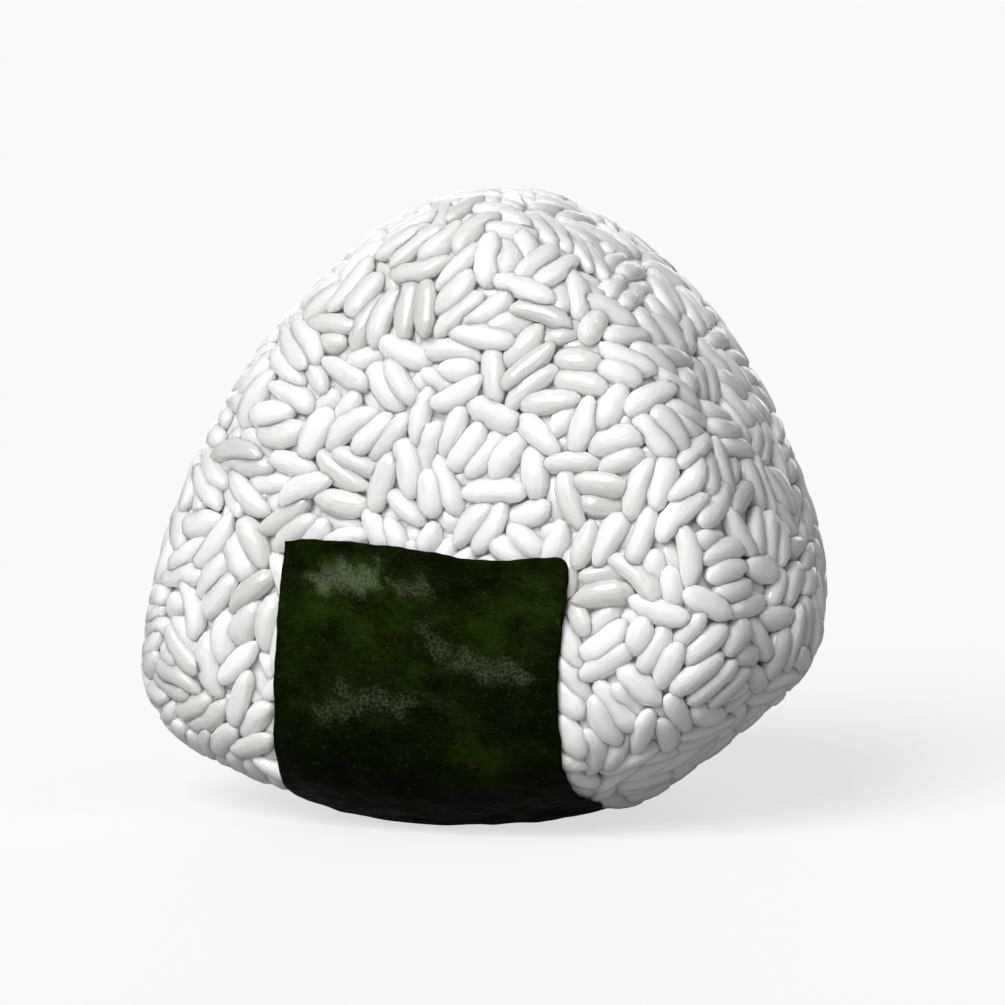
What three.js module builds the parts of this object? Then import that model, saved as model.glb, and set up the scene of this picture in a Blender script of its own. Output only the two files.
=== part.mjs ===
// An onigiri: a rounded triangle of pressed rice that stands on its base, with a strip of nori
// wrapped from its front, under the base and up its back.
// Millimetres and degrees. +Z is up, the front looks along -Y, and the floor is z = 0.
import * as THREE from "three";
import { ConvexHull } from "three/addons/math/ConvexHull.js";

// The ball. Its middle is the point that its five domed faces are measured from.
const middle = new THREE.Vector3(-0.26, 0, 28.4);
const sideDome = 62.5; // radius of the dome that each slanting side is part of
const baseDome = 53;
const broadDome = 420; // front and back are almost flat
const broadLean = 6.4; // front and back lean in towards the top
const broadReach = 21.8; // from the middle to the front and to the back
const cornerSharpness = 13; // of the three corners; higher is sharper
const edgeSharpness = 8.5; // of the rims round the front and the back
const riceFloor = 0.85; // the rice is pressed flat here, on the strip
const halfSizes = new THREE.Vector3(36, 23, 34); // of the ball, roughly

// Places where the hands pressed the ball a little fuller or flatter. spread is in radians.
const pressedPlaces = [
  { towards: new THREE.Vector3(-0.85, -0.25, -0.5), rise: 1.3, spread: 0.3 },
  { towards: new THREE.Vector3(0.8, 0.3, -0.5), rise: -1.3, spread: 0.28 },
  { towards: new THREE.Vector3(0.6, 0.3, 0.7), rise: 0.7, spread: 0.35 },
  { towards: new THREE.Vector3(0.1, 0, 1), rise: -0.5, spread: 0.3 },
];

// The strip of nori.
const stripWidth = 31.7;
const stripCentre = 2.15; // the strip is a little to the right
const stripTop = 30.6; // height that both of its ends reach
const stripThickness = 0.5;
const stripLean = 1.5; // how far its foot is to the left of its ends
const stripWave = { height: 0.65, pace: 0.93, shift: 0.57 }; // of its ends, in half turns
const ripples = { height: 0.3, across: 0.52, slant: 0.21, along: 0.115, twist: 0.031 };
const stripSteps = { along: 38, across: 12 };

// The grains of rice. A layer's grains lie gap apart, and are sunk by depths between two values.
const grain = { halfLength: 3.2, halfWidth: 1.5, rise: 1.2 };
const grainLayers = [
  { tries: 9000, gap: 2.35, sunk: [-0.4, -0.1] },
  { tries: 9000, gap: 1.75, sunk: [0.1, 0.35] },
];
const grainLine = 1.75; // from a grain's middle to the two ridge points beside it
const deepestHollow = 0.85; // between grains
const hollowGap = 1.3; // between points added at one time to the hollows
const underStrip = { margin: 1.6, gap: 0.5, relief: 0.4 }; // the rice is smoother there
const ricePoints = 5450; // surface points that the grains and the hollows share
const riceSeed = 29;

const degrees = THREE.MathUtils.degToRad;
const inDegrees = THREE.MathUtils.radToDeg;

// A face looks along (turn, lean): turn goes round +Z from +X, and lean is above the horizon.
function domedFace(turn, lean, reach, dome) {
  const normal = new THREE.Vector3(1, 0, 0)
    .applyAxisAngle(new THREE.Vector3(0, -1, 0), degrees(lean))
    .applyAxisAngle(new THREE.Vector3(0, 0, 1), degrees(turn));
  return { domeCentre: normal.multiplyScalar(reach - dome), dome };
}

const roundFaces = [
  domedFace(180, 31.2, 31.5, sideDome), // left side
  domedFace(0, 29.8, 33.7, sideDome), // right side
  domedFace(0, -84, 29.4, baseDome), // base
];
const broadFaces = [
  domedFace(-90, broadLean, broadReach, broadDome), // front
  domedFace(90, broadLean, broadReach, broadDome), // back
];

// How far the ball's middle is from a face along a direction.
function distanceTo(face, direction) {
  const along = direction.dot(face.domeCentre);
  return along + Math.sqrt(along ** 2 + face.dome ** 2 - face.domeCentre.lengthSq());
}

// The ball's radius along a direction: the smallest of its faces' distances, taken smoothly.
function ballRadius(direction) {
  let round = 0;
  for (const face of roundFaces) round += distanceTo(face, direction) ** -cornerSharpness;
  let sum = round ** (edgeSharpness / cornerSharpness);
  for (const face of broadFaces) sum += distanceTo(face, direction) ** -edgeSharpness;
  let radius = sum ** (-1 / edgeSharpness);
  for (const { towards, rise, spread } of pressedPlaces)
    radius += rise * Math.exp(-((direction.angleTo(towards) / spread) ** 2));
  return radius;
}

function ballPoint(direction) {
  return direction.clone().multiplyScalar(ballRadius(direction)).add(middle);
}

function directionOf(point) {
  return point.clone().sub(middle).normalize();
}

// The outward normal, from short steps along the surface.
function ballNormal(direction) {
  const step = 0.01;
  const anyAxis = new THREE.Vector3(0.3, 0.5, 0.8);
  const across = anyAxis.cross(direction).normalize();
  const up = direction.clone().cross(across);
  const at = (a, b) =>
    ballPoint(direction.clone().addScaledVector(across, a).addScaledVector(up, b).normalize());
  const first = at(step, 0).sub(at(-step, 0));
  const second = at(0, step).sub(at(0, -step));
  return first.cross(second).normalize();
}

// A point off the ball's surface by offset, and not below floor.
function offBall(direction, offset, floor) {
  const point = ballPoint(direction).addScaledVector(ballNormal(direction), offset);
  point.z = Math.max(point.z, floor);
  return point;
}

// Random numbers from 0 to 1, the same ones each time.
function seededRandom(seed) {
  let state = seed;
  return () => {
    state = (state + 0x6d2b79f5) | 0;
    let mixed = Math.imul(state ^ (state >>> 15), 1 | state);
    mixed = (mixed + Math.imul(mixed ^ (mixed >>> 7), 61 | mixed)) ^ mixed;
    return ((mixed ^ (mixed >>> 14)) >>> 0) / 2 ** 32;
  };
}

// ---- The strip ----

// The direction of a point of the ball: wrap is 0 at the front, 90 under the base and 180 at
// the back, and x is across. Each pass brings the reach nearer to the ball's surface.
function stripDirection(x, wrap) {
  const passes = 12;
  const turned = new THREE.Vector3(0, -Math.cos(degrees(wrap)), -Math.sin(degrees(wrap)));
  const along = (reach) => new THREE.Vector3(x - middle.x, 0, 0).addScaledVector(turned, reach);
  let reach = broadReach;
  for (let pass = 0; pass < passes; pass += 1) {
    const guess = along(reach);
    reach += ballRadius(guess.clone().normalize()) - guess.length();
  }
  return along(reach).normalize();
}

// The strip's end is a gentle wave, high on the left and low on the right.
function stripEndHeight(across) {
  const { height, pace, shift } = stripWave;
  return stripTop + height * Math.cos(Math.PI * (across * pace + shift));
}

function wrapAtEnd(across) {
  return -inDegrees(Math.atan2(stripEndHeight(across) - middle.z, broadReach));
}

// The place of a point of the strip: along and across both run from -1 to 1.
function stripPlace(along, across) {
  const wrap = 90 + along * (90 - wrapAtEnd(across));
  const foot = Math.sin(degrees(THREE.MathUtils.clamp(wrap, 0, 180)));
  return { x: stripCentre + (across * stripWidth) / 2 - stripLean * foot, wrap };
}

// How far the shallow ripples stand off the ball. They die away under the base.
function ripple(x, wrap) {
  const across = Math.sin(x * ripples.across + wrap * ripples.twist);
  const along = Math.sin(wrap * ripples.along - x * ripples.slant);
  return (ripples.height / 2) * (1 + across * along) * Math.abs(Math.cos(degrees(wrap)));
}

function gridFace(firstPoint, rows, columns, outward) {
  const index = [];
  for (let i = 0; i < rows; i += 1) {
    for (let j = 0; j < columns; j += 1) {
      const a = firstPoint + i * (columns + 1) + j;
      const [b, c, d] = [a + 1, a + columns + 2, a + columns + 1];
      index.push(...(outward ? [a, c, b, a, d, c] : [a, b, c, a, c, d]));
    }
  }
  return index;
}

function stripGeometry() {
  const { along: rows, across: columns } = stripSteps;
  const outer = [];
  const inner = [];
  for (let i = 0; i <= rows; i += 1) {
    for (let j = 0; j <= columns; j += 1) {
      const { x, wrap } = stripPlace((2 * i) / rows - 1, (2 * j) / columns - 1);
      const direction = stripDirection(x, wrap);
      const raised = ripple(x, wrap);
      outer.push(...offBall(direction, raised + stripThickness, 0).toArray());
      inner.push(...offBall(direction, raised, stripThickness).toArray());
    }
  }
  const perFace = (rows + 1) * (columns + 1);
  const index = [
    ...gridFace(0, rows, columns, true),
    ...gridFace(perFace, rows, columns, false),
  ];
  // The rim joins the two faces round the strip's outline.
  const outline = [];
  for (let j = 0; j < columns; j += 1) outline.push(j);
  for (let i = 0; i < rows; i += 1) outline.push(i * (columns + 1) + columns);
  for (let j = columns; j > 0; j -= 1) outline.push(rows * (columns + 1) + j);
  for (let i = rows; i > 0; i -= 1) outline.push(i * (columns + 1));
  outline.forEach((a, k) => {
    const b = outline[(k + 1) % outline.length];
    index.push(a, b, b + perFace, a, b + perFace, a + perFace);
  });
  return closedGeometry([...outer, ...inner], index);
}

function closedGeometry(position, index) {
  const geometry = new THREE.BufferGeometry();
  geometry.setAttribute("position", new THREE.Float32BufferAttribute(position, 3));
  geometry.setIndex(index);
  geometry.computeVertexNormals();
  return geometry;
}

// ---- The rice ----

// Whether a point of the ball is under the strip, or within margin of it.
function isUnderStrip(point, margin) {
  const wrap = inDegrees(Math.atan2(middle.z - point.z, middle.y - point.y));
  const fromFront = wrap < -90 ? wrap + 360 : wrap;
  for (const across of [-1, 1]) {
    const along = (fromFront - 90) / (90 - wrapAtEnd(across));
    const edge = stripPlace(THREE.MathUtils.clamp(along, -1, 1), across).x;
    if ((point.x - edge) * across > margin) return false;
  }
  const across = (2 * (point.x - stripCentre)) / stripWidth;
  return point.z < stripEndHeight(THREE.MathUtils.clamp(across, -1, 1)) + margin;
}

// A direction whose points are spread evenly over the ball's surface.
function evenDirection(random) {
  const farthest = 42; // more than the ball's largest radius, so that no share is over 1
  for (;;) {
    const z = 2 * random() - 1;
    const turn = 2 * Math.PI * random();
    const flat = Math.sqrt(1 - z * z);
    const direction = new THREE.Vector3(flat * Math.cos(turn), flat * Math.sin(turn), z);
    const share = ballRadius(direction) ** 2 / ballNormal(direction).dot(direction);
    if (random() < share / farthest ** 2) return direction;
  }
}

// Lays a layer's grains at random, each at least gap from those that lie there already.
function layGrains(grains, { tries, gap, sunk }, random) {
  for (let t = 0; t < tries; t += 1) {
    const direction = evenDirection(random);
    const centre = ballPoint(direction);
    const axis = new THREE.Vector3(random() - 0.5, random() - 0.5, random() - 0.5)
      .cross(ballNormal(direction))
      .normalize();
    const spots = [-grainLine, 0, grainLine].map((along) =>
      ballPoint(directionOf(centre.clone().addScaledVector(axis, along))),
    );
    const tooNear = grains.some(
      (other) =>
        other.centre.distanceTo(centre) < gap + 2 * grainLine &&
        other.spots.some((a) => spots.some((b) => a.distanceTo(b) < gap)),
    );
    if (!tooNear) {
      const depth = sunk[0] + random() * (sunk[1] - sunk[0]);
      grains.push({ centre, axis, spots, depth });
    }
  }
}

// How deep below the ball's surface the rice is at a point: the highest grain there counts.
function riceDepth(point, grains) {
  let deep = deepestHollow;
  for (const { centre, axis, depth } of grains) {
    const away = point.clone().sub(centre);
    if (away.length() > grain.halfLength) continue;
    const along = away.dot(axis);
    const aside = Math.sqrt(Math.max(0, away.lengthSq() - along ** 2));
    const inside = 1 - (along / grain.halfLength) ** 2 - (aside / grain.halfWidth) ** 2;
    if (inside > 0) deep = Math.min(deep, depth + grain.rise * (1 - Math.sqrt(inside)));
  }
  return isUnderStrip(point, underStrip.margin) ? underStrip.gap + underStrip.relief * deep : deep;
}

// Joins points of the ball's surface into triangles. The ball is squeezed to a sphere, where
// the convex hull of the points is their best triangulation.
function triangulate(points) {
  const onSphere = points.map((point) => point.clone().sub(middle).divide(halfSizes).normalize());
  const order = new Map(onSphere.map((point, k) => [point, k]));
  const hull = new ConvexHull().setFromPoints(onSphere);
  return hull.faces.map((face) => {
    const corners = [];
    let edge = face.edge;
    do {
      corners.push(order.get(edge.head().point));
      edge = edge.next;
    } while (edge !== face.edge);
    return corners;
  });
}

// Turns an edge that bridges two grains into one that runs along the hollow between them.
function openHollows(triangles, points, grainOf) {
  const leastOutward = 0.2; // of the turned triangles' normals
  const sideOf = new Map();
  triangles.forEach((corners, t) =>
    corners.forEach((a, k) => sideOf.set(`${a} ${corners[(k + 1) % 3]}`, t)),
  );
  const third = (corners, a, b) => corners.find((k) => k !== a && k !== b);
  const looksOut = (a, b, c) => {
    const out = points[a].clone().sub(middle).normalize();
    const normal = points[b].clone().sub(points[a]).cross(points[c].clone().sub(points[a]));
    return normal.normalize().dot(out) > leastOutward;
  };
  const turned = new Set();
  for (const [edge, t] of sideOf) {
    const [a, b] = edge.split(" ").map(Number);
    const u = sideOf.get(`${b} ${a}`);
    const bridges = grainOf[a] >= 0 && grainOf[b] >= 0 && grainOf[a] !== grainOf[b];
    if (a > b || !bridges || turned.has(t) || turned.has(u)) continue;
    const [c, d] = [third(triangles[t], a, b), third(triangles[u], a, b)];
    const low = grainOf[c] < 0 && grainOf[d] < 0;
    if (!low || !looksOut(c, a, d) || !looksOut(d, b, c)) continue;
    triangles[t] = [c, a, d];
    triangles[u] = [d, b, c];
    turned.add(t).add(u);
  }
  return triangles;
}

// Adds points in the largest triangles, which lie in the hollows between grains.
function addHollows(points) {
  const found = triangulate(points).map((corners) => {
    const [a, b, c] = corners.map((k) => points[k]);
    const area = new THREE.Triangle(a, b, c).getArea();
    const middlePoint = new THREE.Triangle(a, b, c).getMidpoint(new THREE.Vector3());
    return { area, centre: ballPoint(directionOf(middlePoint)) };
  });
  found.sort((one, other) => other.area - one.area);
  const added = [];
  for (const { centre } of found) {
    if (points.length + added.length >= ricePoints) break;
    if (!added.some((other) => other.distanceTo(centre) < hollowGap)) added.push(centre);
  }
  points.push(...added);
  return added.length;
}

function riceGeometry() {
  const random = seededRandom(riceSeed);
  const grains = [];
  for (const layer of grainLayers) layGrains(grains, layer, random);
  const points = grains.flatMap((laid) => laid.spots);
  const ridges = points.length;
  while (points.length < ricePoints && addHollows(points) > 0);
  const position = points.flatMap((point) => {
    const depth = riceDepth(point, grains);
    return offBall(directionOf(point), -depth, riceFloor).toArray();
  });
  const grainOf = points.map((_, k) => (k < ridges ? Math.floor(k / 3) : -1));
  return closedGeometry(position, openHollows(triangulate(points), points, grainOf).flat());
}

for (const place of pressedPlaces) place.towards.normalize();

const riceLook = new THREE.MeshStandardMaterial({ color: 0xf4f2ec, roughness: 0.45, metalness: 0 });
const noriLook = new THREE.MeshStandardMaterial({ color: 0x10160a, roughness: 0.5, metalness: 0 });

const onigiri = new THREE.Group();
const rice = new THREE.Mesh(riceGeometry(), riceLook);
rice.name = "rice";
const nori = new THREE.Mesh(stripGeometry(), noriLook);
nori.name = "nori";
onigiri.add(rice, nori);

export default onigiri;
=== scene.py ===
import math
import bpy
import numpy as np
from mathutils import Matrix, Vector


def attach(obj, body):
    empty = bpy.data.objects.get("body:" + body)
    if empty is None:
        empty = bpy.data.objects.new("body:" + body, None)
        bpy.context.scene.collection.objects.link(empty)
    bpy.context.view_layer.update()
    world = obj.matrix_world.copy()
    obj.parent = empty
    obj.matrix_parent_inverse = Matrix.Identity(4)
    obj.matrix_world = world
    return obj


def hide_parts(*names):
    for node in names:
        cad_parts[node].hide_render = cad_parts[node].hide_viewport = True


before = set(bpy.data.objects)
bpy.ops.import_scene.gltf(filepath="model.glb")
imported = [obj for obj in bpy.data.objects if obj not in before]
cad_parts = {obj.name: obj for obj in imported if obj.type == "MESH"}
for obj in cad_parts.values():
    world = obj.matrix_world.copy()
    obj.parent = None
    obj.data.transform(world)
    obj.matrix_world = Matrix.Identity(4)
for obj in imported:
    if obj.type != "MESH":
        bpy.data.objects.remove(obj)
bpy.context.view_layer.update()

# An onigiri: pressed rice with a strip of nori round it. Sizes are in millimetres and degrees,
# and addMesh turns them into metres. +Z is up, the front looks along -Y, and the floor is z = 0.
metresPerMm = 0.001

ball = {
    "middle": np.array([-0.26, 0.0, 28.4]),  # the faces below are measured from it
    "cornerSharpness": 13.0,
    "edgeSharpness": 8.5,
    # each face: turn round +Z, lean above the horizon, distance from the middle, radius of its dome
    "roundFaces": [(180, 31.2, 31.5, 62.5), (0, 29.8, 33.7, 62.5), (0, -84, 29.4, 53)],
    "broadFaces": [(-90, 6.4, 21.8, 420), (90, 6.4, 21.8, 420)],
    # where the hands pressed it fuller or flatter: direction, rise, spread in radians
    "pressed": [((-0.85, -0.25, -0.5), 1.3, 0.3), ((0.8, 0.3, -0.5), -1.3, 0.28),
                ((0.6, 0.3, 0.7), 0.7, 0.35), ((0.1, 0, 1), -0.5, 0.3)],
    # where the grains stand higher than the pressed shape, or lower: x, y, z of the place, rise, spread
    "full": [(19, -5, 2.5, 1.2, 5.5), (24, 3, 5, 0.4, 7), (35, -1, 21, 2.0, 7), (30, -3, 11, -0.6, 4),
             (-9, -3, 64, 0.7, 6), (-34, -6, 14, 1.2, 8), (-24, -4, 3, -1.4, 6), (-14, -7, 2, -1.3, 5),
             (17, -13, 57, 0.5, 6), (24, -15, 47, 0.6, 6), (30, -15.5, 37, 0.6, 6),
             (32.5, -16.5, 26, 0.6, 6), (32.5, -16.5, 16.5, 0.5, 5)],
    # shallow dents of the fingers: x, y, z of the place, depth, spread
    "dents": [(-3, -17, 57.6, 0.7, 4.5), (-6.2, -21, 36.5, 0.6, 3.5), (-16, -21.5, 32, 0.6, 4.5),
              (-22, -19, 39.5, 0.5, 4), (14, -18, 50, 0.6, 4.5), (21, -20.5, 36.5, 0.7, 4.5),
              (26, -3, 51, 0.5, 5), (32, -7, 37, 0.5, 5), (-24, 19, 30, 0.6, 5), (6, 19, 50, 0.7, 5),
              (16, 21, 28, 0.6, 5), (-29, 2, 40, 0.6, 5), (-12, 4, 62, 0.5, 5)],
}


def unitVectors(vectors):
    # each vector divided by its length
    return vectors / np.linalg.norm(vectors, axis=-1, keepdims=True)


def domeDistance(directions, face):
    # distance from the middle to a dome of radius R: a + sqrt(a^2 + R^2 - |c|^2),
    # where c is the dome's centre and a is the direction times c
    turn, lean, reach, dome = math.radians(face[0]), math.radians(face[1]), face[2], face[3]
    normal = np.array([math.cos(lean) * math.cos(turn), math.cos(lean) * math.sin(turn), math.sin(lean)])
    centre = normal * (reach - dome)
    along = directions @ centre
    return along + np.sqrt(along ** 2 + dome ** 2 - centre @ centre)


def ballRadius(directions):
    # the smallest of the five distances, blended: (sum of distance^-sharpness)^(-1/sharpness)
    corner, edge = ball["cornerSharpness"], ball["edgeSharpness"]
    roundSum = sum(domeDistance(directions, face) ** -corner for face in ball["roundFaces"])
    edgeSum = roundSum ** (edge / corner)
    edgeSum = edgeSum + sum(domeDistance(directions, face) ** -edge for face in ball["broadFaces"])
    radius = edgeSum ** (-1 / edge)
    for towards, rise, spread in ball["pressed"]:
        cosine = np.clip(directions @ unitVectors(np.array(towards, float)), -1, 1)
        radius = radius + rise * np.exp(-(np.arccos(cosine) / spread) ** 2)
    return radius


def nearness(points, place, spread):
    # exp(-(distance / spread)^2)
    return np.exp(-(np.linalg.norm(points - np.array(place), axis=-1) / spread) ** 2)


def handRadius(directions):
    # the radius of the surface that the grains are pressed to: the ball's, plus rise * nearness
    # for each fuller place, less depth * nearness for each dent
    radius = ballRadius(directions)
    points = directions * radius[..., None] + ball["middle"]
    for x, y, z, rise, spread in ball["full"]:
        radius = radius + rise * nearness(points, (x, y, z), spread)
    for x, y, z, depth, spread in ball["dents"]:
        radius = radius - depth * nearness(points, (x, y, z), spread)
    return radius


def surface(directions, radiusOf=ballRadius):
    # points of the surface, and normals from four short steps along it
    step, aslant = 0.01, np.array([0.3, 0.5, 0.8])
    across = unitVectors(np.cross(aslant, directions))
    up = np.cross(directions, across)

    def at(a, b):
        # the point a step of a across and b up from each direction
        turned = unitVectors(directions + a * across + b * up)
        return turned * radiusOf(turned)[..., None]

    normals = unitVectors(np.cross(at(step, 0) - at(-step, 0), at(0, step) - at(0, -step)))
    return directions * radiusOf(directions)[..., None] + ball["middle"], normals


def depthBelow(points):
    # how deep points are below the pressed surface: (radius - distance from the middle) * cosine
    # of the slope; the surface's normals come with it
    away = points - ball["middle"]
    reach = np.linalg.norm(away, axis=-1)
    directions = away / reach[..., None]
    normals = surface(directions, handRadius)[1]
    cosine = np.sum(normals * directions, axis=-1)
    return (handRadius(directions) - reach) * cosine, normals


def spreadEvenly(count, rng):
    # directions whose points are even over the ball: drawn at random, kept by radius^2 / slope
    drawn = unitVectors(rng.normal(size=(count * rice["draws"], 3)))
    share = ballRadius(drawn) ** 2 / np.sum(surface(drawn)[1] * drawn, axis=-1)
    return drawn[rng.random(len(drawn)) < share / share.max()][:count]


def addMesh(name, points, quads, material, triangles=None, uv=None, values=None):
    # points are in millimetres, quads and triangles hold point numbers, and values are point attributes
    loops, starts = quads.ravel(), np.arange(len(quads)) * 4
    if triangles is not None:
        starts = np.concatenate([starts, len(loops) + np.arange(len(triangles)) * 3])
        loops = np.concatenate([loops, triangles.ravel()])
    mesh = bpy.data.meshes.new(name)
    mesh.vertices.add(len(points))
    mesh.vertices.foreach_set("co", (points * metresPerMm).astype(np.float32).ravel())
    mesh.loops.add(len(loops))
    mesh.loops.foreach_set("vertex_index", loops.astype(np.int32))
    mesh.polygons.add(len(starts))
    mesh.polygons.foreach_set("loop_start", starts.astype(np.int32))
    mesh.polygons.foreach_set("use_smooth", np.ones(len(starts), bool))
    mesh.update(calc_edges=True)
    if uv is not None:
        mesh.uv_layers.new(name="along").data.foreach_set("uv", uv[loops].astype(np.float32).ravel())
    for label, numbers in (values or {}).items():
        kind, field = ("FLOAT", "value") if numbers.ndim == 1 else ("FLOAT_VECTOR", "vector")
        mesh.attributes.new(label, kind, "POINT").data.foreach_set(field, numbers.astype(np.float32).ravel())
    mesh.materials.append(material)
    piece = bpy.data.objects.new(name, mesh)
    bpy.context.scene.collection.objects.link(piece)
    return piece


def standFor(piece, node):
    # the piece takes the place of a solid of the part
    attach(piece, "root")
    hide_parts(node)


def gridQuads(rows, columns, closed=False):
    # quads of a grid of rows x columns points; a closed one joins its last column to its first
    wide = columns if closed else columns - 1
    i, j = np.meshgrid(np.arange(rows - 1), np.arange(wide), indexing="ij")
    a, b = i * columns + j, i * columns + (j + 1) % columns
    return np.stack([a, a + columns, b + columns, b], axis=-1).reshape(-1, 4)


strip = {
    "width": 32.1,
    "centre": 1.95,
    "top": 30.6,  # height of both ends
    "lean": 1.5,  # its foot is to the left of its ends
    "wave": (0.65, 0.93, 0.57),  # of its ends: height, pace and shift in half turns
    "reach": 21.8,  # from the ball's middle to the front and to the back
    "thickness": 0.24,
    "roundCorner": 1.3,  # of its right-hand corners
    "points": (112, 400),  # across and along
    "fitRounds": 12,  # of bringing its points onto the ball
    "floor": 0.02,
    "underIt": 0.3,  # the rice is pressed this much lower under it
    "deepest": -2.0,  # it sinks no lower than this between two grains
    "sink": 0.05,  # into the highest grains
    "blurs": (40, 10),  # passes that smooth its lie over the grains, and then again
    "slack": 0.1,  # between it and the grains
    "ripple": 0.25,
    "rippleWaves": ((0.52, 0.031), (-0.21, 0.115)),  # paces across it and round the ball
    "curl": 0.35,  # its ends stand off the rice by up to this
    "curlLength": 1.6,
    "curlWave": (0.37, 1.3),  # pace across it, and shift of one end from the other
    "halfLength": 55,
    "cutWaves": [(14, 0.1), (5, 0.05), (1.9, 0.02)],  # of its edges: length and size
    "degreesPerMm": 2.4,  # round the ball, for the waves of its long edges
    "onBack": 0.6,  # strength of the strokes on the back
    "seed": 11,
    # pale strokes on the front, dry patches and painted sheen: x and z of one end and of the other, half
    # width, strength
    "dryAndSheen": [(-9.2, 27.2, -4.2, 27.6, 1.8, 1.0), (-0.9, 27.0, 2.6, 26.4, 1.1, 0.6),
            (2.6, 22.0, 4.4, 20.4, 1.3, 0.5), (7.0, 19.3, 13.0, 18.2, 1.5, 0.6),
            (-9.0, 13.2, -6.5, 13.6, 1.5, 0.5), (-6.6, 15.3, -5.4, 14.9, 1.4, 0.5),
            (-4.8, 14.7, 0.4, 14.6, 1.4, 0.52)],
    # greener ones
    "green": [(-9, 25.6, -3, 24.5, 4.5, 0.9), (10.5, 28.5, 14, 24, 4, 0.8), (6, 23, 11, 22, 2.5, 0.8),
              (-3, 19.5, 1, 18.5, 3, 0.5), (7.5, 9.3, 11.5, 9.0, 2.4, 0.9), (-12, 20, -12, 14, 2, 0.4)],
    # nearly black ones: the third and fourth, low on the front, are painted shade that darkens the strip
    # towards its bottom; the last is a short slit
    "black": [(3.5, 28.3, 9, 27.4, 2.2, 0.7), (16, 21, 16.2, 12, 2.2, 0.8), (-12, 6.5, 1, 5.5, 4.6, 0.95),
              (14, 7, 18, 5, 3.4, 0.9), (1, 12.5, 8, 13.5, 2.6, 0.5), (10.4, 28, 12.8, 27.8, 0.3, 1.0)],
    # waves that bend the strokes sideways and up: size, pace along x and z, shift
    "bendX": [(0.5, 0.6, 1.9, 0), (0.3, 0, 3.7, 1)],
    "bendZ": [(0.35, 1.3, 0, 2), (0.25, 2.9, 1.1, 0)],
}


def stripEndHeight(across):
    # height of the end at across -1..1: top + height * cos(pi * (across * pace + shift))
    height, pace, shift = strip["wave"]
    return strip["top"] + height * np.cos(np.pi * (across * pace + shift))


def wrapOfHeight(height):
    # degrees below the level of the ball's middle: -arctan(height over it / reach)
    return -np.degrees(np.arctan2(height - ball["middle"][2], strip["reach"]))


def stripX(across, wrap):
    # wrap is 0 degrees at the front, 90 under the base and 180 at the back, and the lean is greatest
    # at 90: centre + across * width / 2 - lean * sin(wrap)
    foot = np.sin(np.radians(np.clip(wrap, 0, 180)))
    return strip["centre"] + across * strip["width"] / 2 - strip["lean"] * foot


def stripDirections(x, wrap):
    # the direction in the plane of x that meets the ball: the reach is corrected until it fits
    angle, side = np.radians(wrap), x - ball["middle"][0]
    reach = np.full(x.shape, strip["reach"])
    for _ in range(strip["fitRounds"]):
        guess = np.stack([side, -np.cos(angle) * reach, -np.sin(angle) * reach], axis=-1)
        length = np.linalg.norm(guess, axis=-1)
        reach = reach + ballRadius(guess / length[..., None]) - length
    return unitVectors(guess)


def underStrip(points, margin=0.6):
    # 1 between the strip's edges and below its ends, with a margin, and 0 elsewhere
    away, x = ball["middle"] - points, points[..., 0]
    wrap = np.degrees(np.arctan2(away[..., 2], away[..., 1]))
    wrap = np.where(wrap < -90, wrap + 360, wrap)
    inside = (x > stripX(-1.0, wrap) - margin) & (x < stripX(1.0, wrap) + margin)
    across = np.clip((x - strip["centre"]) * 2 / strip["width"], -1, 1)
    return (inside & (points[..., 2] < stripEndHeight(across) + margin)).astype(float)


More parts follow.
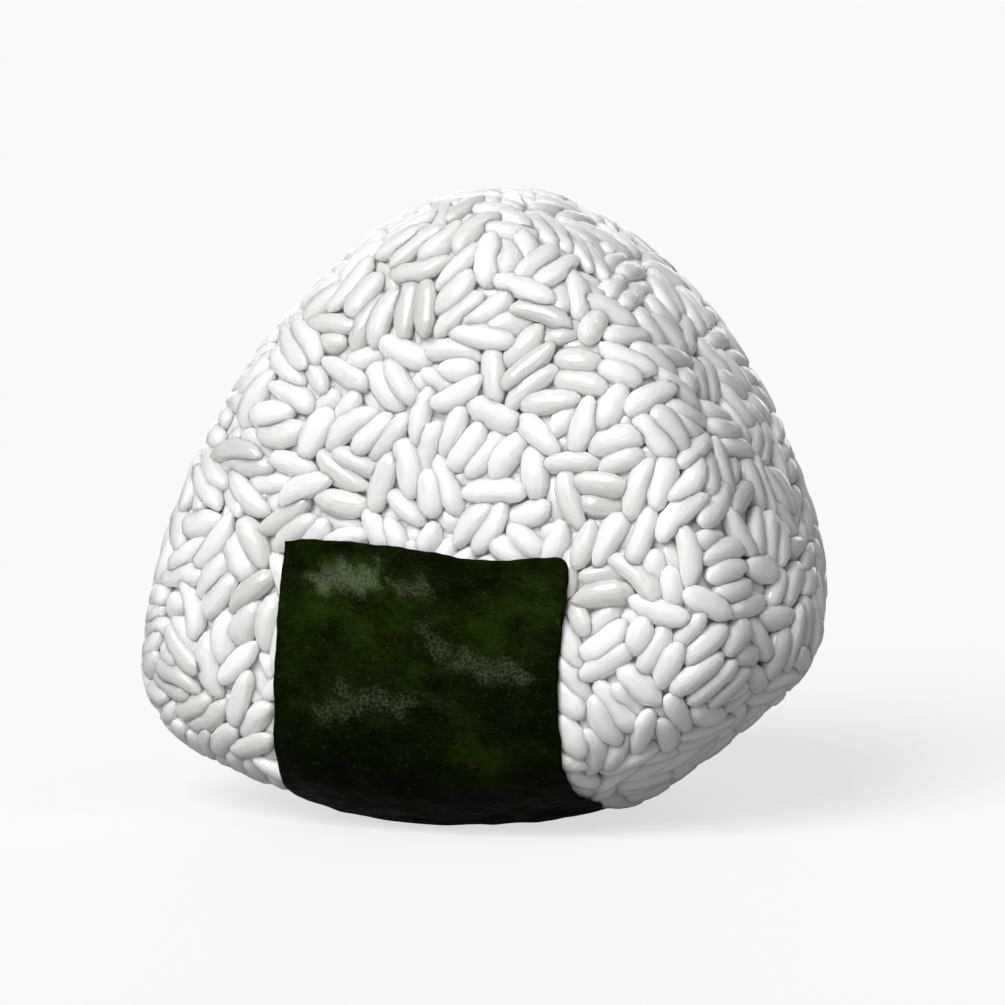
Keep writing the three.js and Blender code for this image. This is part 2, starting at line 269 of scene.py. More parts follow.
rice = {
    "seed": 4,
    "count": 3200,
    "draws": 12,  # directions drawn for each grain, to choose from
    "rounds": (45, 45, 30),  # of pushing apart, with crossing grains dropped after each lot
    "searchEvery": 8,  # rounds between searches for neighbours
    "closeness": 0.85,  # grains are squeezed into each other by the rest
    "follow": 0.3,  # share of its pushes that a grain gives way to in a round
    "turnFollow": 0.4,  # and of the pushes that turn it
    "proud": (0.0, 0.5),  # how far out of the pressed surface a grain may stand
    "depths": (1.2, 3.8),  # of a grain's middle below that surface
    "floor": 0.42,
    "pressedFrom": -0.4,  # what is higher than this over the pressed surface is flattened
    "pressedTo": 0.65,  # the most that stays over that height
    "tilt": 0.18,  # of the grains to the surface
    "laid": 0.08,  # how much a grain is turned flat in each round
    "crossing": 0.42,  # middle lines nearer than this share of both radii: the deeper grain goes
    "roll": 0.5,  # grains lie turned about their length by about this, in radians
    "sizeSpread": 0.05,  # of their widths
    "shortestLine": 0.4,  # half the middle line of the shortest ones
    "around": 9,
    "rings": (-75, -53, -28, 0, 28, 53, 75),  # in degrees, from end to end
    "roundness": 2.8,  # of their ends: a higher power is blunter
    "taper": 0.14,  # at most
    "lumps": (0.055, 0.05),  # along them and round them
    "lumpPaces": (2, 5),  # along them
    "germCut": 0.6,  # of one cheek of the far end, at most
    "germFrom": (0.45, 0.5),  # where along the half length the cut begins, and over what length it deepens
    "tipAside": 0.12,  # the far tip is aside by this share of the half width
    "patternShift": 400,  # the most that the pattern of one grain is shifted to make it its own
    "chalk": (0.5, 1.0),  # chalkiness of single grains
    "paintedShadeShare": 0.9,  # share of it that is lost at the places of painted shade
    "coreDepth": 1.45,
    "coreFloor": 0.72,
    "corePoints": (120, 220),
    "coreWaves": (1.7, 1.9, 1.8),  # paces along x, y and z
    "coreWaveHeight": 0.25,
    "coreChalk": 0.55,
    # more places of painted shade beside the dents, where the grains are greyer and clearer: x, y, z, spread
    "clearAndShaded": [(0.5, -12, 65.5, 4), (-8.5, -17.5, 54, 4), (0, -17, 57, 3.5), (15, -16, 54.5, 3.5),
              (21, -21, 28, 4), (-18, -21.5, 24, 3.5), (-28.5, -20, 14, 5), (-24, -20.5, 10.5, 5),
              (-21, -20, 7.5, 4), (33, 8, 35, 4), (31.5, 2, 40.5, 3.5), (35, 3, 29, 4.5), (36, -2.5, 23, 5),
              (35, -7.5, 20.5, 4.5), (34, -11, 18.5, 4)],
}
grainKinds = {
    "rice_grains_plump": {"share": 0.48, "length": (6.1, 7.0), "width": 3.1, "thick": 2.5, "bend": 0.35},
    "rice_grains_slender": {"share": 0.42, "length": (6.7, 7.7), "width": 2.8, "thick": 2.3, "bend": 0.7},
    "rice_grains_short": {"share": 0.1, "length": (4.6, 5.8), "width": 2.9, "thick": 2.4, "bend": 0.1},
}


def nearPairs(centres, reach):
    # pairs nearer than reach, from |a - b|^2 = |a|^2 + |b|^2 - 2ab
    square = np.sum(centres ** 2, axis=1)
    first, second = np.nonzero(square[:, None] + square[None] - 2 * centres @ centres.T < reach ** 2)
    return first[first < second], second[first < second]


def drawGrains(rng):
    # sizes of the grains by kind, and first places: lying along the surface, at random depths
    count, names = rice["count"], list(grainKinds)
    kind = rng.choice(len(names), size=count, p=[grainKinds[name]["share"] for name in names])
    size = {key: np.array([grainKinds[name][key] for name in names])[kind]
            for key in ("length", "width", "thick", "bend")}
    length = size["length"][:, 0] + np.ptp(size["length"], axis=1) * rng.random(count)
    wide = rng.normal(1, rice["sizeSpread"], (count, 2)) * np.stack([size["width"], size["thick"]], axis=-1)
    radius = wide.mean(axis=1) / 2
    place, normal = surface(spreadEvenly(count, rng), handRadius)
    flat = unitVectors(np.cross(unitVectors(rng.normal(size=(count, 3))), normal))
    return {
        "kind": kind,
        "centre": place - normal * rng.uniform(*rice["depths"], count)[:, None],
        "axis": unitVectors(flat + rice["tilt"] * rng.normal(size=(count, 1)) * normal),
        "length": length,
        "wide": wide,
        "radius": radius,
        "halfLine": np.maximum(length / 2 - radius, rice["shortestLine"]),
        "bend": size["bend"] * rng.uniform(-1, 1, count),
        "proud": rng.uniform(*rice["proud"], count),
    }


def packGrains(grains, rounds):
    # each grain is three balls in a row: balls that overlap push each other apart, the hands push
    # them in and turn the grain flat; it follows the sum of its three pushes, and turns by the
    # difference between those of its ends
    radius, halfLine = grains["radius"], grains["halfLine"][:, None, None]
    centre, axis = grains["centre"], grains["axis"]
    line = np.array([-1, 0, 1])[:, None]
    room = (radius - grains["proud"])[:, None]
    for turn in range(rounds):
        if turn % rice["searchEvery"] == 0:
            first, second = nearPairs(centre, grains["length"].max() + 1)
            allowed = ((radius[first] + radius[second]) * rice["closeness"])[:, None, None]
        balls = centre[:, None] + axis[:, None] * line * halfLine
        gap = balls[first][:, :, None] - balls[second][:, None]
        apart = np.linalg.norm(gap, axis=-1) + 1e-6
        push = gap * (np.maximum(0, allowed - apart) / apart / 2)[..., None]
        shift = np.zeros_like(balls)
        np.add.at(shift, first, push.sum(axis=2))
        np.add.at(shift, second, -push.sum(axis=1))
        below, normals = depthBelow(balls)
        below = below - strip["underIt"] * underStrip(balls)
        inwards = np.maximum(0, room - below) - np.maximum(0, below - rice["depths"][1])
        shift -= normals * inwards[..., None]
        shift[..., 2] += np.maximum(0, rice["floor"] + room - balls[..., 2])
        centre = centre + shift.sum(axis=1) * rice["follow"]
        upright = np.sum(axis * normals[:, 1], axis=1, keepdims=True) * normals[:, 1]
        turned = (shift[:, 2] - shift[:, 0]) / (2 * halfLine[:, 0]) * rice["turnFollow"]
        axis = unitVectors(axis + turned - upright * rice["laid"])
    return {**grains, "centre": centre, "axis": axis}


def middleLines(grains, count):
    # points along the grains: centre + axis * half line * (-1 to 1)
    line = np.linspace(-1, 1, count)[:, None]
    return grains["centre"][:, None] + grains["axis"][:, None] * line * grains["halfLine"][:, None, None]


def dropCrossing(grains):
    # of two grains whose middle lines all but meet, the deeper one goes
    points, radius = middleLines(grains, 7), grains["radius"]
    first, second = nearPairs(grains["centre"], grains["length"].max())
    gap = np.linalg.norm(points[first][:, :, None] - points[second][:, None], axis=-1).min(axis=(1, 2))
    crossing = gap < rice["crossing"] * (radius[first] + radius[second])
    below = depthBelow(grains["centre"])[0]
    deeper = np.where(below[first] > below[second], first, second)[crossing]
    kept = np.setdiff1d(np.arange(len(radius)), deeper)
    print(len(radius) - len(kept), "crossing grains dropped")
    return {key: value[kept] for key, value in grains.items()}


def flatten(height):
    # heights level off: from + most * tanh((height - from) / most)
    low, most = rice["pressedFrom"], rice["pressedTo"]
    return np.where(height > low, low + most * np.tanh((height - low) / most), height)


def pressInside(points):
    # points higher over the pressed surface than they may be go down along its normal
    below, normals = depthBelow(points)
    height = strip["underIt"] * underStrip(points) - below
    pressed = points + normals * (flatten(height) - height)[..., None]
    pressed[..., 2] = np.maximum(pressed[..., 2], rice["floor"])
    return pressed


def grainPoints(grains, chosen, rng):
    # v runs from end to end and u around: the half width is (1 - |v|^roundness)^0.5, less a taper,
    # with small lumps, one cheek of the far end is cut away where the germ was, and the middle line
    # bends sideways by bend * (1.4 * v^2 - 0.4)
    count = len(chosen)
    u = np.arange(rice["around"]) * 2 * np.pi / rice["around"]
    v = np.sin(np.radians(rice["rings"]))[:, None]

    def each(low, high):
        # a random number for each grain
        return rng.uniform(low, high, (count, 1, 1))

    lumpAlong, lumpAround = rice["lumps"]
    ring = (1 - np.abs(v) ** rice["roundness"]) ** 0.5 * (1 - each(0, rice["taper"]) * v)
    ring = ring * (1 + lumpAlong * np.sin(v * each(*rice["lumpPaces"]) + each(0, 6))
                   + lumpAround * np.cos(3 * u + each(0, 6) + v))
    cutFrom, cutOver = rice["germFrom"]
    cut = each(0, rice["germCut"]) * np.clip((v - cutFrom) / cutOver, 0, 1)
    cheek = ring * np.cos(u) * np.where(np.cos(u) > 0, 1 - cut, 1)
    wide, bend = grains["wide"][chosen] / 2, grains["bend"][chosen][:, None, None]
    half = grains["length"][chosen][:, None, None] / 2
    local = np.stack([cheek * wide[:, :1, None] + bend * (1.4 * v ** 2 - 0.4), half * v + 0 * cheek,
                      ring * np.sin(u) * wide[:, 1:, None]], axis=-1).reshape(count, -1, 3)
    ends = np.zeros((count, 2, 3))
    ends[..., 0] = bend[:, 0] - np.array([0, rice["tipAside"]]) * wide[:, :1]
    ends[..., 1] = half[:, 0] * np.array([-1, 1])
    local = np.concatenate([local, ends], axis=1)
    axis, normal = grains["axis"][chosen], depthBelow(grains["centre"][chosen])[1]
    side = unitVectors(np.cross(axis, normal))
    up = np.cross(side, axis)
    roll = rng.normal(0, rice["roll"], (count, 1))
    side, up = side * np.cos(roll) + up * np.sin(roll), up * np.cos(roll) - side * np.sin(roll)
    turned = local @ np.stack([side, axis, up], axis=1)
    return pressInside(grains["centre"][chosen][:, None] + turned), local


def grainFaces(count):
    # one grain's quads between rings and triangles to its two ends, repeated for each grain
    around, rings = rice["around"], len(rice["rings"])
    quads = gridQuads(rings, around, closed=True)
    first = np.arange(around)
    after, last = (first + 1) % around, (rings - 1) * around
    low = np.stack([first, after, np.full(around, rings * around)], axis=-1)
    high = np.stack([first + last, np.full(around, rings * around + 1), after + last], axis=-1)
    start = (np.arange(count) * (rings * around + 2))[:, None, None]
    return (quads + start).reshape(-1, 4), (np.concatenate([low, high]) + start).reshape(-1, 3)


def paintedShadeMask(points):
    # painted shade: 1 in the middle of the dents and of the other shaded places, and 0 away from them
    places = [(x, y, z, spread) for x, y, z, _, spread in ball["dents"]] + rice["clearAndShaded"]
    return np.max([nearness(points, place[:3], place[3]) for place in places], axis=0)


def makeGrains(grains, material, rng):
    # one piece for each kind; grainPlace is where a point is in its own grain, shifted at random for each
    for number, name in enumerate(grainKinds):
        chosen = np.nonzero(grains["kind"] == number)[0]
        points, local = grainPoints(grains, chosen, rng)
        quads, triangles = grainFaces(len(chosen))
        # near the dents and the other shaded places the grains lose chalk and turn greyer: painted shade
        clearAndShaded = rice["paintedShadeShare"] * paintedShadeMask(grains["centre"][chosen])
        chalk = rng.uniform(*rice["chalk"], len(chosen)) * (1 - clearAndShaded)
        shift = rng.uniform(0, rice["patternShift"], (len(chosen), 1, 3))
        values = {
            "grainPlace": (local + shift).reshape(-1, 3),
            "grainChalkAndShade": np.repeat(chalk, points.shape[1]),
            "grainTip": np.abs(local[..., 1] / (grains["length"][chosen][:, None] / 2)).ravel(),
        }
        piece = addMesh(name, points.reshape(-1, 3), quads, material, triangles, values=values)
        standFor(piece, "rice")
        print(name, len(chosen), "grains,", len(quads) * 2 + len(triangles), "triangles")


def makeCore(material):
    # the pressed surface sunk by coreDepth, plus waves of sin(x) * sin(y) * sin(z); its rows of points
    # run from the lower pole to the upper one
    rows, columns = rice["corePoints"]
    tilt = np.linspace(-90, 90, rows + 2)[1:-1]
    tilt, turn = np.meshgrid(np.radians(tilt), np.arange(columns) * 2 * np.pi / columns, indexing="ij")
    directions = np.stack([np.cos(tilt) * np.cos(turn), np.cos(tilt) * np.sin(turn), np.sin(tilt)], axis=-1)
    directions = np.concatenate([directions.reshape(-1, 3), [[0, 0, -1.0], [0, 0, 1.0]]])
    points, normals = surface(directions, handRadius)
    waves = np.prod(np.sin(points * rice["coreWaves"] + np.arange(3)), axis=1)
    points = points - normals * (rice["coreDepth"] + rice["coreWaveHeight"] * waves)[:, None]
    points[:, 2] = np.maximum(points[:, 2], rice["coreFloor"])
    first, last, low = np.arange(columns), (rows - 1) * columns, rows * columns
    after = (first + 1) % columns
    ends = np.concatenate([np.stack([first, np.full(columns, low), after], axis=-1),
                           np.stack([first + last, after + last, np.full(columns, low + 1)], axis=-1)])
    quads = gridQuads(rows, columns, closed=True)[:, ::-1]
    values = {
        "grainPlace": points,
        "grainChalkAndShade": np.full(len(points), rice["coreChalk"]),
        "grainTip": np.zeros(len(points)),
    }
    piece = addMesh("rice_core", points, quads, material, ends, values=values)
    standFor(piece, "rice")
    print("core made")


def blur(field, passes):
    # each pass mixes every point with its neighbours by the weights 1/4, 1/2, 1/4, along both sides
    for _ in range(passes):
        wide = np.pad(field, ((1, 1), (0, 0)), mode="edge")
        field = wide[:-2] / 4 + wide[1:-1] / 2 + wide[2:] / 4
        wide = np.pad(field, ((0, 0), (1, 1)), mode="edge")
        field = wide[:, :-2] / 4 + wide[:, 1:-1] / 2 + wide[:, 2:] / 4
    return field


def grainHeight(points, normals, grains, rowsAtOnce=16, around=3):
    # height of the grains over each point: along + sqrt(radius^2 - aside^2) of the highest ball, where
    # along and aside are how far the ball is along the normal and away from it
    balls = middleLines(grains, 5)
    balls, radius = balls.reshape(-1, 3), np.repeat(grains["radius"], balls.shape[1])
    height = np.full(points.shape[:2], strip["deepest"])
    for start in range(0, len(points), rowsAtOnce):
        rows = slice(start, start + rowsAtOnce)
        low, high = points[rows].min(axis=(0, 1)) - around, points[rows].max(axis=(0, 1)) + around
        near = np.all((balls > low) & (balls < high), axis=1)
        away = balls[near] - points[rows][..., None, :]
        along = np.einsum("ijkl,ijl->ijk", away, normals[rows])
        aside = np.sum(away ** 2, axis=-1) - along ** 2
        top = along + np.sqrt(np.maximum(0, radius[near] ** 2 - aside))
        height[rows] = np.where(aside < radius[near] ** 2, top, strip["deepest"]).max(axis=-1)
    return flatten(height)


def wavyLine(t, rng, waves):
    # a sum of sines: size * sin(2 pi t / length + phase)
    return sum(size * np.sin(2 * np.pi * t / length + rng.uniform(0, 6.28)) for length, size in waves)


def strokes(x, z, places):
    # strength * exp(-(distance / half width)^3) from a line between two points, the strongest one counts
    share = np.zeros(x.shape)
    for x1, z1, x2, z2, halfWidth, strength in places:
        wide, high = x2 - x1, z2 - z1
        along = np.clip(((x - x1) * wide + (z - z1) * high) / (wide ** 2 + high ** 2), 0, 1)
        away = np.hypot(x - x1 - along * wide, z - z1 - along * high)
        share = np.maximum(share, strength * np.exp(-(away / halfWidth) ** 3))
    return share


def crossedWaves(x, z, waves):
    # a sum of sines: size * sin(x * pace + z * pace + shift)
    return sum(size * np.sin(x * paceX + z * paceZ + shift) for size, paceX, paceZ, shift in waves)


def stripValues(points):
    # the strokes are bent by slow waves, and they are repeated weaker and mirrored on the back
    x, z = points[..., 0].ravel(), points[..., 2].ravel()
    back = points[..., 1].ravel() > 0
    bentX = x + crossedWaves(x, z, strip["bendX"])
    bentZ = z + crossedWaves(x, z, strip["bendZ"])
    bentX = np.where(back, 2 * strip["centre"] - bentX, bentX)
    power = np.where(back, strip["onBack"], 1.0)
    return {name: power * strokes(bentX, bentZ, strip[name]) for name in ("dryAndSheen", "green", "black")}


def stripPlan(rng):
    # a grid of across -1..1 and along -1..1, and for each point x and wrap: the ends follow
    # stripEndHeight and the long edges stripX, both with small waves, and two corners are round
    columns, rows = strip["points"]
    across = np.linspace(-1, 1, columns)[None, :].repeat(rows, axis=0)
    along = np.linspace(-1, 1, rows)[:, None].repeat(columns, axis=1)
    x = strip["centre"] + across * strip["width"] / 2
    fromRight = np.maximum(0, x - (strip["centre"] + strip["width"] / 2 - strip["roundCorner"]))
    corner = strip["roundCorner"] - np.sqrt(np.maximum(0, strip["roundCorner"] ** 2 - fromRight ** 2))
    front = wrapOfHeight(stripEndHeight(across) + wavyLine(x, rng, strip["cutWaves"]) - corner)
    back = wrapOfHeight(stripEndHeight(across) + wavyLine(x, rng, strip["cutWaves"]) - corner)
    wrap = np.where(along < 0, 90 + along * (90 - front), 90 + along * (90 - back))
    edge = wavyLine(wrap / strip["degreesPerMm"], rng, strip["cutWaves"])
    x = stripX(across, wrap) + edge * np.abs(across) ** 6 * np.sign(across)
    return along, x, wrap


def stripLift(height, along, x, wrap):
    # height of the strip over the ball: the blurred height of the grains, plus ripples that fade
    # towards the base, plus a curl of exp(-(distance from the end / curlLength)^2)
    first, second = strip["blurs"]
    lift = blur(np.maximum(blur(height, first), height - strip["sink"]), second) + strip["slack"]
    (acrossA, roundA), (acrossB, roundB) = strip["rippleWaves"]
    waves = np.sin(x * acrossA + wrap * roundA) * np.sin(x * acrossB + wrap * roundB)
    lift = lift + strip["ripple"] * (0.5 + 0.5 * waves) * np.abs(np.cos(np.radians(wrap)))
    fromEnd = (1 - np.abs(along)) * strip["halfLength"]
    pace, shift = strip["curlWave"]
    curl = 0.5 + 0.5 * np.sin(x * pace + np.sign(along) * shift)
    return lift + strip["curl"] * curl * np.exp(-(fromEnd / strip["curlLength"]) ** 2) + strip["thickness"]


def makeStrip(grains, material, rng):
    # the grid's points are on the ball, moved out by stripLift; its uv map holds x and the way along it
    along, x, wrap = stripPlan(rng)
    rows, columns = x.shape
    points, normals = surface(stripDirections(x, wrap))
    lift = stripLift(grainHeight(points, normals, grains), along, x, wrap)
    points = points + normals * lift[..., None]
    points[..., 2] = np.maximum(points[..., 2], strip["floor"])
    travelled = np.cumsum(np.linalg.norm(np.diff(points, axis=0, prepend=points[:1]), axis=-1), axis=0)
    uv = np.stack([points[..., 0], travelled], axis=-1).reshape(-1, 2) / 100  # 1 is 100 mm
    piece = addMesh("nori_sheet", points.reshape(-1, 3), gridQuads(rows, columns), material, uv=uv,
                    values=stripValues(points))
    sheet = piece.modifiers.new("thickness", "SOLIDIFY")
    sheet.thickness = strip["thickness"] * metresPerMm
    sheet.offset = -1
    standFor(piece, "nori")
    print("nori made")


def addNode(tree, kind, inputs=None, **settings):
    # inputs holds a socket of another node or a plain value for each socket's name
    node = tree.nodes.new(kind)
    for label, value in settings.items():
        setattr(node, label, value)
    for label, value in (inputs or {}).items():
        if isinstance(value, bpy.types.NodeSocket):
            tree.links.new(value, node.inputs[label])
        else:
            node.inputs[label].default_value = value
    return node


def unevenGroup():
    # two sizes of noise laid over each other: a mask from 0 to 1, and a height for bumps
    group = bpy.data.node_groups.new("uneven", "ShaderNodeTree")
    socket = group.interface.new_socket
    socket(name="Place", in_out="INPUT", socket_type="NodeSocketVector")
    usual = {"Size": 1.0, "Fine Size": 5.0, "Fine Share": 0.4, "Low": 0.4, "High": 0.6}
    for label, value in usual.items():
        socket(name=label, in_out="INPUT", socket_type="NodeSocketFloat").default_value = value
    socket(name="Mask", in_out="OUTPUT", socket_type="NodeSocketFloat")
    socket(name="Height", in_out="OUTPUT", socket_type="NodeSocketFloat")
    given = addNode(group, "NodeGroupInput").outputs
    coarse = addNode(group, "ShaderNodeTexNoise", {"Vector": given["Place"], "Scale": given["Size"],
                                                   "Detail": 3.0})
    fine = addNode(group, "ShaderNodeTexNoise", {"Vector": given["Place"], "Scale": given["Fine Size"],
                                                 "Detail": 2.0, "Roughness": 0.6})
    both = addNode(group, "ShaderNodeMix", {"Factor": given["Fine Share"], "A": coarse.outputs["Fac"],
                                            "B": fine.outputs["Fac"]}).outputs["Result"]
    mask = addNode(group, "ShaderNodeMapRange", {"Value": both, "From Min": given["Low"],
                                                 "From Max": given["High"]})
    addNode(group, "NodeGroupOutput", {"Mask": mask.outputs["Result"], "Height": both})
    return group


def uneven(tree, group, place, size, fine, share=0.4, low=0.4, high=0.6):
    # the uneven group with values of its own
    values = {"Place": place, "Size": size, "Fine Size": fine, "Fine Share": share, "Low": low, "High": high}
    return addNode(tree, "ShaderNodeGroup", values, node_tree=group).outputs


def mixColours(tree, factor, first, second):
    # a Mix node's colour sockets go by number: 0 is the factor, 6 and 7 are the colours, 2 the result
    sockets = {0: factor, 6: first, 7: second}
    return addNode(tree, "ShaderNodeMix", sockets, data_type="RGBA").outputs[2]


def rescale(tree, value, low, high, toLow=0.0, toHigh=1.0):
    # low becomes toLow and high becomes toHigh
    return addNode(tree, "ShaderNodeMapRange", {"Value": value, "From Min": low, "From Max": high,
                                                "To Min": toLow, "To Max": toHigh}).outputs["Result"]


def calculate(tree, operation, first, second):
    # one Math node
    return addNode(tree, "ShaderNodeMath", {0: first, 1: second}, operation=operation).outputs["Value"]


def attribute(tree, name):
    # a value that addMesh gave to the points
    return addNode(tree, "ShaderNodeAttribute", attribute_name=name).outputs


def startMaterial(name):
    # a new material, its nodes and its shader's sockets
    material = bpy.data.materials.new(name)
    material.use_nodes = True
    tree = material.node_tree
    return material, tree, tree.nodes["Principled BSDF"].inputs


riceFinish = {
    # the greyer colour of clear grains, which is also the colour of the painted shade
    "clearAndShaded": (0.57, 0.565, 0.54, 1),
    "chalky": (0.9, 0.897, 0.88, 1),
    "tip": (0.78, 0.765, 0.715, 1),
    "tipFrom": (0.75, 1.1),  # share of the half length where the tips' colour begins and is full
    "tipShare": 0.6,
    "subsurface": 0.85,
    "scatter": 0.0015,  # metres
    "scatterColours": (1.0, 0.96, 0.9),
    "bump": 0.55,
    "bumpHeight": 0.0004,  # metres
    "roughness": (0.3, 0.5),
    "moisture": (0.3, 0.9),  # coat weight of drier and of moister places
    "coatRoughness": 0.12,
    "streaks": {"size": 0.9, "fine": 3.8, "share": 0.45, "low": 0.38, "high": 0.66},
    "streakStretch": (1.0, 0.28, 1.0),
    "blotches": {"size": 0.5, "fine": 2.0, "share": 0.3, "low": 0.36, "high": 0.64},
}


def cookedRice(group):
    # each grain has a chalkiness of its own, lowered as painted shade at the dents and the shaded places,
    # streaks along it and slightly darker ends
    material, tree, shader = startMaterial("cookedRice")
    place = attribute(tree, "grainPlace")["Vector"]
    along = addNode(tree, "ShaderNodeMapping", {"Vector": place, "Scale": riceFinish["streakStretch"]})
    streaks = uneven(tree, group, along.outputs["Vector"], **riceFinish["streaks"])
    blotches = uneven(tree, group, place, **riceFinish["blotches"])
    # chalkiness, less the painted shade
    chalk = attribute(tree, "grainChalkAndShade")["Fac"]
    colour = mixColours(tree, chalk, riceFinish["clearAndShaded"], riceFinish["chalky"])
    streaky = calculate(tree, "MULTIPLY", streaks["Mask"], chalk)
    colour = mixColours(tree, streaky, colour, riceFinish["chalky"])
    tip = attribute(tree, "grainTip")["Fac"]
    tip = rescale(tree, tip, *riceFinish["tipFrom"], toHigh=riceFinish["tipShare"])
    colour = mixColours(tree, tip, colour, riceFinish["tip"])
    tree.links.new(colour, shader["Base Color"])
    tree.links.new(rescale(tree, blotches["Mask"], 0, 1, *riceFinish["roughness"]), shader["Roughness"])
    tree.links.new(rescale(tree, blotches["Mask"], 1, 0, *riceFinish["moisture"]), shader["Coat Weight"])
    shader["Coat Roughness"].default_value = riceFinish["coatRoughness"]
    shader["Subsurface Weight"].default_value = riceFinish["subsurface"]
    shader["Subsurface Radius"].default_value = riceFinish["scatterColours"]
    shader["Subsurface Scale"].default_value = riceFinish["scatter"]
    bump = addNode(tree, "ShaderNodeBump", {"Height": streaks["Height"], "Strength": riceFinish["bump"],
                                            "Distance": riceFinish["bumpHeight"]})
    tree.links.new(bump.outputs["Normal"], shader["Normal"])
    return material


noriFinish = {
    "dark": (0.0005, 0.0012, 0.0002, 1),
    "plain": (0.0045, 0.011, 0.0006, 1),
    "green": (0.0105, 0.0235, 0.0012, 1),
    # pale colour of the dry patches and the painted sheen
    "dryAndSheen": (0.074, 0.096, 0.053, 1),
    "speck": (0.035, 0.055, 0.018, 1),
    "bump": 0.9,
    "bumpHeight": 0.0002,  # metres
    "roughness": (0.42, 0.7),
    "gloss": 0.06,
    "glossTint": (0.62, 1.0, 0.22, 1),
    # patterns over the flat sheet, where 1 is 100 mm
    "clouds": {"size": 22.0, "fine": 150.0, "share": 0.35, "low": 0.42, "high": 0.62},
    "fibres": {"size": 110.0, "fine": 380.0, "share": 0.5, "low": 0.42, "high": 0.6},
    "fibreStretch": (0.4, 1.0, 1.0),
    "crumbs": {"size": 95.0, "fine": 420.0, "share": 0.6, "low": 0.6, "high": 0.65},
    "chalk": {"size": 280.0, "fine": 800.0, "share": 0.5},
    "fibreShare": 0.55,  # darkness between the fibres
    "crumbShare": 0.5,
    "grain": 1.2,  # how grainy the edge of a pale stroke of dry patches and painted sheen is
    # heights of the patterns between which clouds, gaps between fibres and chalk grow to their full
    "cloudy": (0.35, 0.6),
    "sunken": (0.62, 0.38),
    "chalky": (0.35, 0.65),
    "wornAndSheen": (0.8, 1.9),  # the pale strokes of dryness and painted sheen plus grain, where the pale colour begins and is full
    "dryAndSheenPower": 0.5,
}


def toastedNori(group):
    # near black with greener clouds; the pale strokes of dry patches and painted sheen have a grainy edge,
    # and pale specks lie all over
    material, tree, shader = startMaterial("toastedNori")
    place = addNode(tree, "ShaderNodeUVMap", uv_map="along").outputs["UV"]
    across = addNode(tree, "ShaderNodeMapping", {"Vector": place, "Scale": noriFinish["fibreStretch"]})
    clouds = uneven(tree, group, place, **noriFinish["clouds"])
    fibres = uneven(tree, group, across.outputs["Vector"], **noriFinish["fibres"])
    crumbs = uneven(tree, group, place, **noriFinish["crumbs"])
    chalk = uneven(tree, group, place, **noriFinish["chalk"])
    colour = mixColours(tree, clouds["Mask"], noriFinish["dark"], noriFinish["plain"])
    cloudy = rescale(tree, clouds["Height"], *noriFinish["cloudy"])
    greener = calculate(tree, "MULTIPLY", attribute(tree, "green")["Fac"], cloudy)
    colour = mixColours(tree, greener, colour, noriFinish["green"])
    mottled = rescale(tree, fibres["Height"], *noriFinish["sunken"], 0, noriFinish["fibreShare"])
    colour = mixColours(tree, mottled, colour, noriFinish["dark"])
    # the nearly black strokes, of which the low ones are painted shade
    colour = mixColours(tree, attribute(tree, "black")["Fac"], colour, noriFinish["dark"])
    specks = calculate(tree, "MULTIPLY", crumbs["Mask"], noriFinish["crumbShare"])
    colour = mixColours(tree, specks, colour, noriFinish["speck"])
    # the pale strokes: dry patches and painted sheen
    dryAndSheen = attribute(tree, "dryAndSheen")["Fac"]
    grain = rescale(tree, chalk["Height"], *noriFinish["chalky"], 0, noriFinish["grain"])
    wornAndSheen = rescale(tree, calculate(tree, "ADD", dryAndSheen, grain), *noriFinish["wornAndSheen"])
    wornAndSheen = calculate(tree, "MULTIPLY", wornAndSheen, calculate(tree, "POWER", dryAndSheen, noriFinish["dryAndSheenPower"]))
    colour = mixColours(tree, wornAndSheen, colour, noriFinish["dryAndSheen"])
    tree.links.new(colour, shader["Base Color"])
    tree.links.new(rescale(tree, fibres["Mask"], 0, 1, *noriFinish["roughness"]), shader["Roughness"])
    bump = addNode(tree, "ShaderNodeBump", {"Height": fibres["Height"], "Strength": noriFinish["bump"],
                                            "Distance": noriFinish["bumpHeight"]})
    tree.links.new(bump.outputs["Normal"], shader["Normal"])
    shader["Specular IOR Level"].default_value = noriFinish["gloss"]
    shader["Specular Tint"].default_value = noriFinish["glossTint"]
    return material


studio = {
    "floorColour": (0.3, 0.3, 0.3, 1),
    "floorRoughness": 0.9,
    "floorGlow": 0.673,  # brightness that the camera sees on top of the lamps' light on the floor
    "floorLight": 0.05,  # brightness of the floor that lights the rest
    "floorRadius": 60.0,  # metres
    "floorRings": 16,
    "floorAround": 64,
    "ambient": 0.185,  # light from all round
    "backdrop": 0.955,  # brightness behind the floor's far edge
    # lamps: direction towards them, width seen from the ball in degrees, strength
    "lamps": {"key": ((-0.1, -0.8, 0.59), 36, 3.32), "side": ((0.55, -0.12, 0.8), 7, 0.16),
              "back": ((-0.35, 0.9, 0.2), 50, 0.9)},
}
view = {
    "azimuth": 22.7,
    "elevation": 5.6,
    "distance": 552.6,
    "lens": 183.04,
    "aimRight": 1.85,  # of the ball's middle
    "aimUp": 5.13,
    "clip": (0.01, 200.0),  # metres
}


def addLamps():
    # far lamps light the whole floor alike
    for name, (towards, width, strength) in studio["lamps"].items():
        lamp = bpy.data.lights.new(name, "SUN")
        lamp.energy, lamp.angle = strength, math.radians(width)
        light = bpy.data.objects.new(name, lamp)
        light.location = towards
        light.rotation_euler = (-Vector(towards)).to_track_quat("-Z", "Y").to_euler()
        bpy.context.scene.collection.objects.link(light)


def cameraSees(tree, seen, otherwise):
    # one strength for what the camera sees and another for the light that it gives
    isSeen = addNode(tree, "ShaderNodeLightPath").outputs["Is Camera Ray"]
    return rescale(tree, isSeen, 0, 1, otherwise, seen)


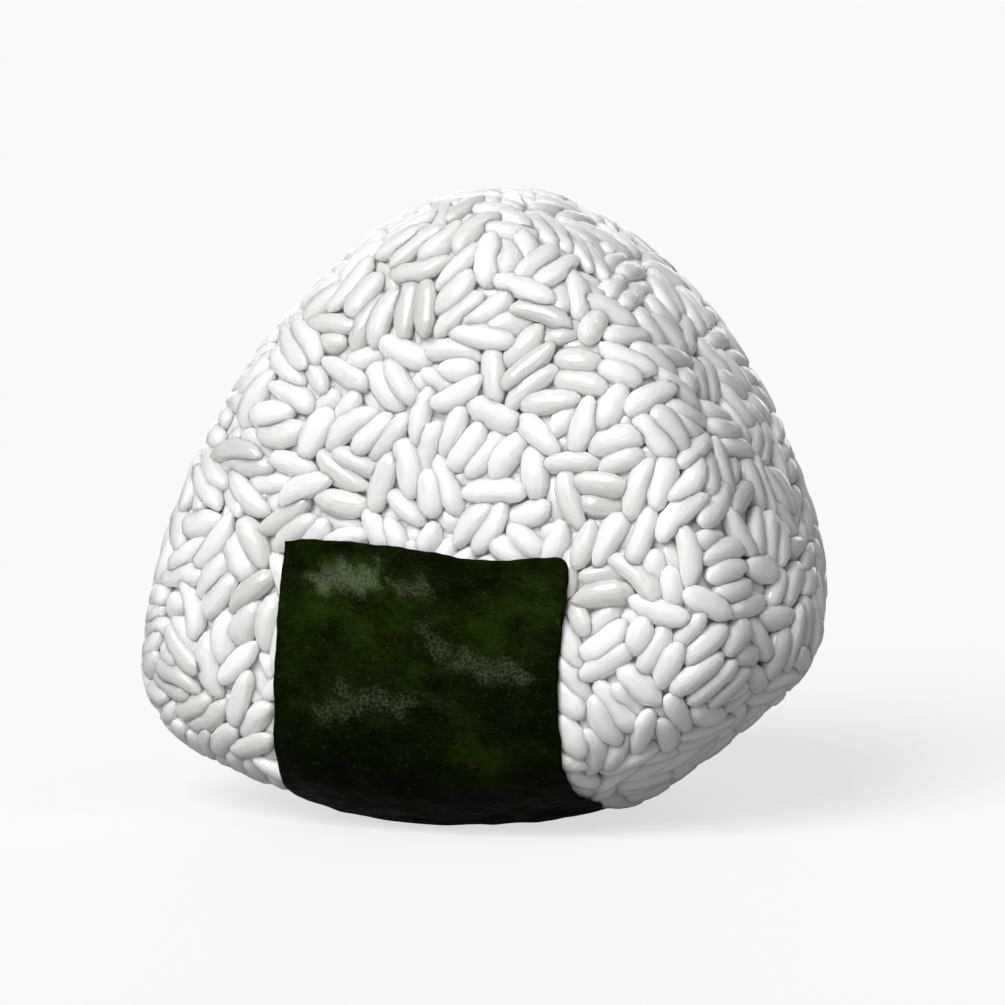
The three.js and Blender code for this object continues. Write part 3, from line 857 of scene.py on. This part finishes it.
def makeFloor():
    # a disc of rings: radius * (step / steps)^3, so that it's finer near the middle
    steps, around = studio["floorRings"], studio["floorAround"]
    radius = studio["floorRadius"] * (np.arange(1, steps + 1)[:, None] / steps) ** 3
    turn = np.arange(around) * 2 * np.pi / around
    rings = np.stack([radius * np.cos(turn), radius * np.sin(turn), 0 * radius * turn], axis=-1)
    points = np.concatenate([rings.reshape(-1, 3), [[0, 0, 0]]]) / metresPerMm
    first = np.arange(around)
    middle = np.stack([first, (first + 1) % around, np.full(around, steps * around)], axis=-1)
    material, tree, shader = startMaterial("floorPaint")
    shader["Base Color"].default_value = studio["floorColour"]
    shader["Roughness"].default_value = studio["floorRoughness"]
    shader["Specular IOR Level"].default_value = 0.0
    shader["Emission Color"].default_value = (1, 1, 1, 1)
    glow = cameraSees(tree, studio["floorGlow"], studio["floorLight"])
    tree.links.new(glow, shader["Emission Strength"])
    addMesh("floor", points, gridQuads(steps, around, closed=True), material, middle)


def makeStudio():
    # the floor, the lamps and an even white world
    makeFloor()
    addLamps()
    world = bpy.data.worlds.new("studio")
    world.use_nodes = True
    background = world.node_tree.nodes["Background"].inputs
    background["Color"].default_value = (1, 1, 1, 1)
    strength = cameraSees(world.node_tree, studio["backdrop"], studio["ambient"])
    world.node_tree.links.new(strength, background["Strength"])
    bpy.context.scene.world = world
    bpy.context.scene.view_settings.view_transform = "Standard"


def makeCamera():
    # it looks at a point beside the ball's middle, from azimuth and elevation at distance
    azimuth, elevation = math.radians(view["azimuth"]), math.radians(view["elevation"])
    back = np.array([math.sin(azimuth) * math.cos(elevation), -math.cos(azimuth) * math.cos(elevation),
                     math.sin(elevation)])
    right = np.array([math.cos(azimuth), math.sin(azimuth), 0])
    target = ball["middle"] + right * view["aimRight"] + np.cross(back, right) * view["aimUp"]
    camera = bpy.data.objects.new("camera", bpy.data.cameras.new("camera"))
    camera.data.lens = view["lens"]
    camera.data.clip_start, camera.data.clip_end = view["clip"]
    camera.location = (target + back * view["distance"]) * metresPerMm
    camera.rotation_euler = (math.pi / 2 - elevation, 0, azimuth)
    bpy.context.scene.collection.objects.link(camera)
    bpy.context.scene.camera = camera


makeStudio()
makeCamera()
print("studio made")
riceRng = np.random.default_rng(rice["seed"])
packed = drawGrains(riceRng)
for lot in rice["rounds"]:
    packed = dropCrossing(packGrains(packed, lot))
print("grains packed")
unevenNodes = unevenGroup()
riceMaterial = cookedRice(unevenNodes)
makeGrains(packed, riceMaterial, riceRng)
makeCore(riceMaterial)
makeStrip(packed, toastedNori(unevenNodes), np.random.default_rng(strip["seed"]))
